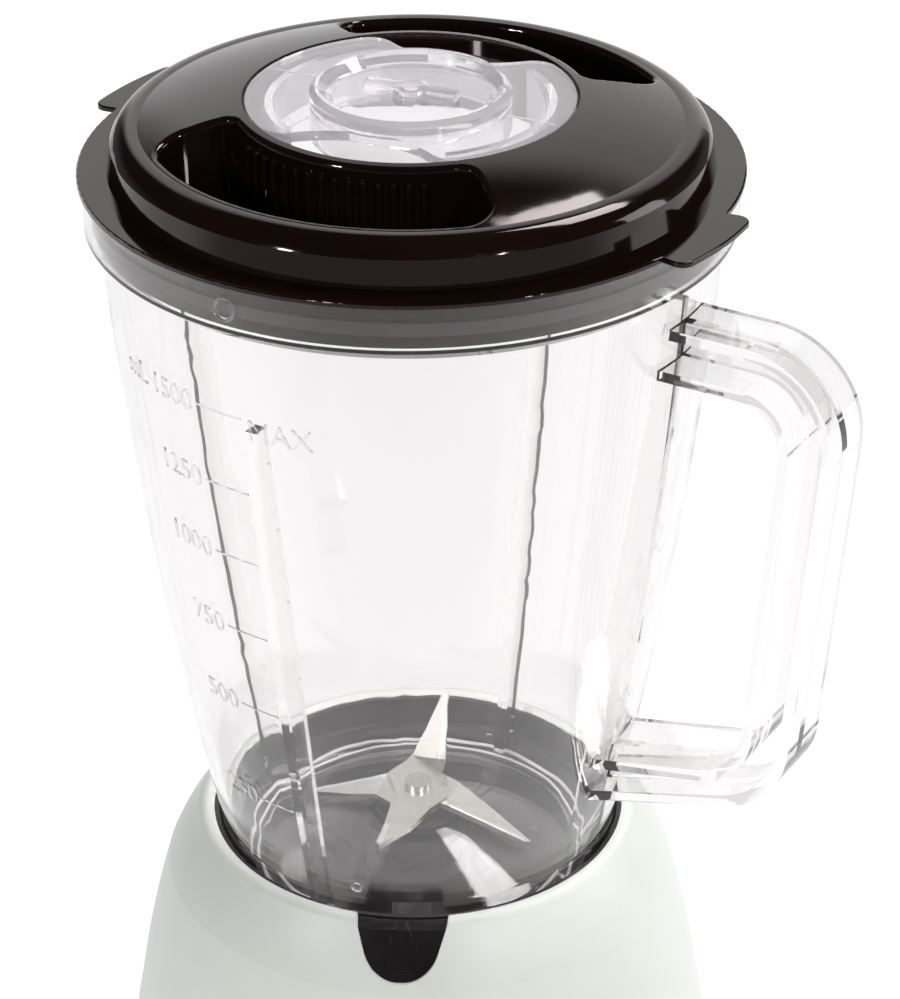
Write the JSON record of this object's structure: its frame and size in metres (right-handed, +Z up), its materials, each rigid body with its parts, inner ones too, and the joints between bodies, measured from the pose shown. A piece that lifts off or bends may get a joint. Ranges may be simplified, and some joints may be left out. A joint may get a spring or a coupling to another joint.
{
  "type": "countertop blender",
  "caption": "Countertop blender with a bell-shaped motor base, a clear handled jar with bent steel blades, a domed lid with finger pockets and a clear winged filler cap.",
  "frame": {"origin": "on the jar's axis, in the plane that the foot ring stands on", "axes": "+Z up along the jar's axis, -Y to the front where the control knob and the lock tab are, +X to the handle's side"},
  "size_m": [0.1801, 0.1758, 0.3397],
  "materials": {
    "white_plastic": "glossy moulded white",
    "black_plastic": "glossy moulded black",
    "lid_plastic": "glossy moulded black-brown",
    "dark_plastic": "fine moulded texture",
    "clear_plastic": "clear polished styrene-acrylonitrile",
    "knob_plastic": "glossy moulded dark grey",
    "rubber": "matt moulded rubber",
    "seal_rubber": "soft sealing rubber",
    "stainless": "ground stainless steel",
    "steel": "zinc-plated steel",
    "lamination": "stacked electrical sheet",
    "copper": "enamelled copper wire",
    "bronze": "sintered bronze",
    "carbon": "pressed carbon",
    "nylon": "natural nylon",
    "aluminium": "die-cast aluminium"
  },
  "bodies": {
    "base": {"base_housing": "white_plastic", "well_liner": "black_plastic", "bottom_cover": "dark_plastic", "foot_ring": "rubber", "cover_screws": "steel", "speed_switch": "dark_plastic", "cord_inlet": "rubber", "terminal_block": "nylon", "stator_core": "lamination", "field_coils": "copper", "motor_bolts": "steel", "motor_mounts": "rubber", "mount_screws": "steel", "brush_holders": "dark_plastic", "carbon_brushes": "carbon", "brush_springs": "steel", "interlock_spring": "steel", "pin_retainer": "dark_plastic", "interlock_switch": "dark_plastic", "lower_bracket": "aluminium", "lower_bearing": "steel", "upper_bracket": "aluminium", "upper_bearing": "steel"},
    "rotor": {"armature_core": "lamination", "armature_windings": "copper", "commutator": "copper", "motor_shaft": "steel", "cooling_fan": "nylon", "drive_socket": "rubber"},
    "knob": {"control_knob": "knob_plastic", "knob_spindle": "steel"},
    "pin": {"interlock_pin": "nylon"},
    "jar_body": {"jar": "clear_plastic", "bearing_housing": "dark_plastic", "bearing_nut": "dark_plastic", "shaft_bushes": "bronze", "shaft_seal": "seal_rubber"},
    "blades": {"blade_shaft": "stainless", "blade_washer": "stainless", "upper_blade": "stainless", "lower_blade": "stainless", "jar_coupler": "dark_plastic"},
    "lid_body": {"lid": "lid_plastic", "lid_seal": "seal_rubber"},
    "cap_body": {"filler_cap": "clear_plastic"}
  },
  "joints": [
    {"name": "rotor_spin", "type": "hinge", "parent": "base", "child": "rotor", "pos_m": [0, 0, 0.06], "axis": [0, 0, 1], "continuous": true},
    {"name": "knob_turn", "type": "hinge", "parent": "base", "child": "knob", "pos_m": [0, -0.0804, 0.062], "axis": [0, 1, 0], "range_deg": [-45, 90]},
    {"name": "pin_press", "type": "slide", "parent": "base", "child": "pin", "axis": [0, 0, 1], "range_m": [-0.003, 0], "stiffness_N_per_m": 150, "springref_m": 0.002, "deforming": ["interlock_spring"]},
    {"name": "jar_lift", "type": "slide", "parent": "base", "child": "jar_body", "axis": [0, 0, 1], "range_m": [0, 0.08]},
    {"name": "blade_spin", "type": "hinge", "parent": "jar_body", "child": "blades", "pos_m": [0, 0, 0.15], "axis": [0, 0, 1], "continuous": true},
    {"name": "lid_lift", "type": "slide", "parent": "jar_body", "child": "lid_body", "axis": [0, 0, 1], "range_m": [0, 0.06]},
    {"name": "cap_lift", "type": "slide", "parent": "lid_body", "child": "cap_body", "axis": [0, 0, 1], "range_m": [0, 0.04]}
  ],
  "couplings": [
    {"joint": "blade_spin", "follows": "rotor_spin", "ratio": 1}
  ]
}
